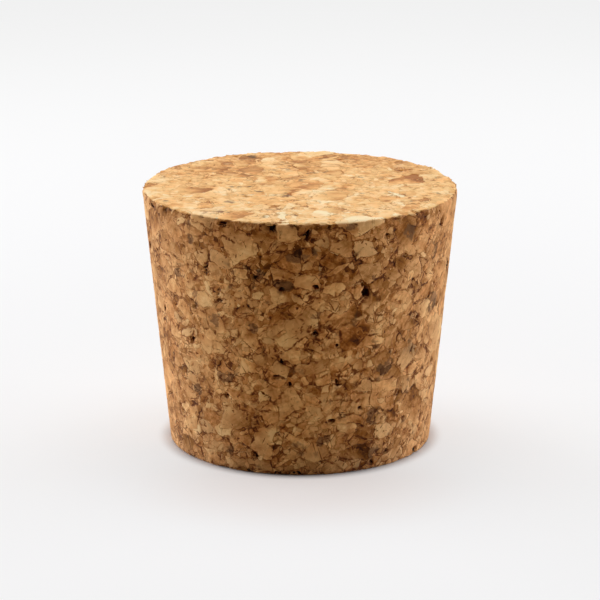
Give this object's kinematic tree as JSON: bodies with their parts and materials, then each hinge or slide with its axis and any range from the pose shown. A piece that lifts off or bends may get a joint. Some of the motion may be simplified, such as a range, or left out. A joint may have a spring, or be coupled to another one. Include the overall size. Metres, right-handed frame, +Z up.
{
  "type": "cork stopper",
  "caption": "Tapered round stopper ground from pressed cork granules, wide end up, with flat ends, lightly eased rims and small pockets where granules have torn out.",
  "frame": {"origin": "centre of the narrow end's flat face, which is the bottom of the part", "axes": "+Z runs up the axis to the wide end, and -Y is the front; the part is round about Z, so X and Y are free in use"},
  "size_m": [0.046, 0.046, 0.038],
  "materials": {
    "cork": "dry ground agglomerated cork, matte, no coating"
  },
  "bodies": {
    "root": {"stopper": "cork"}
  },
  "joints": []
}
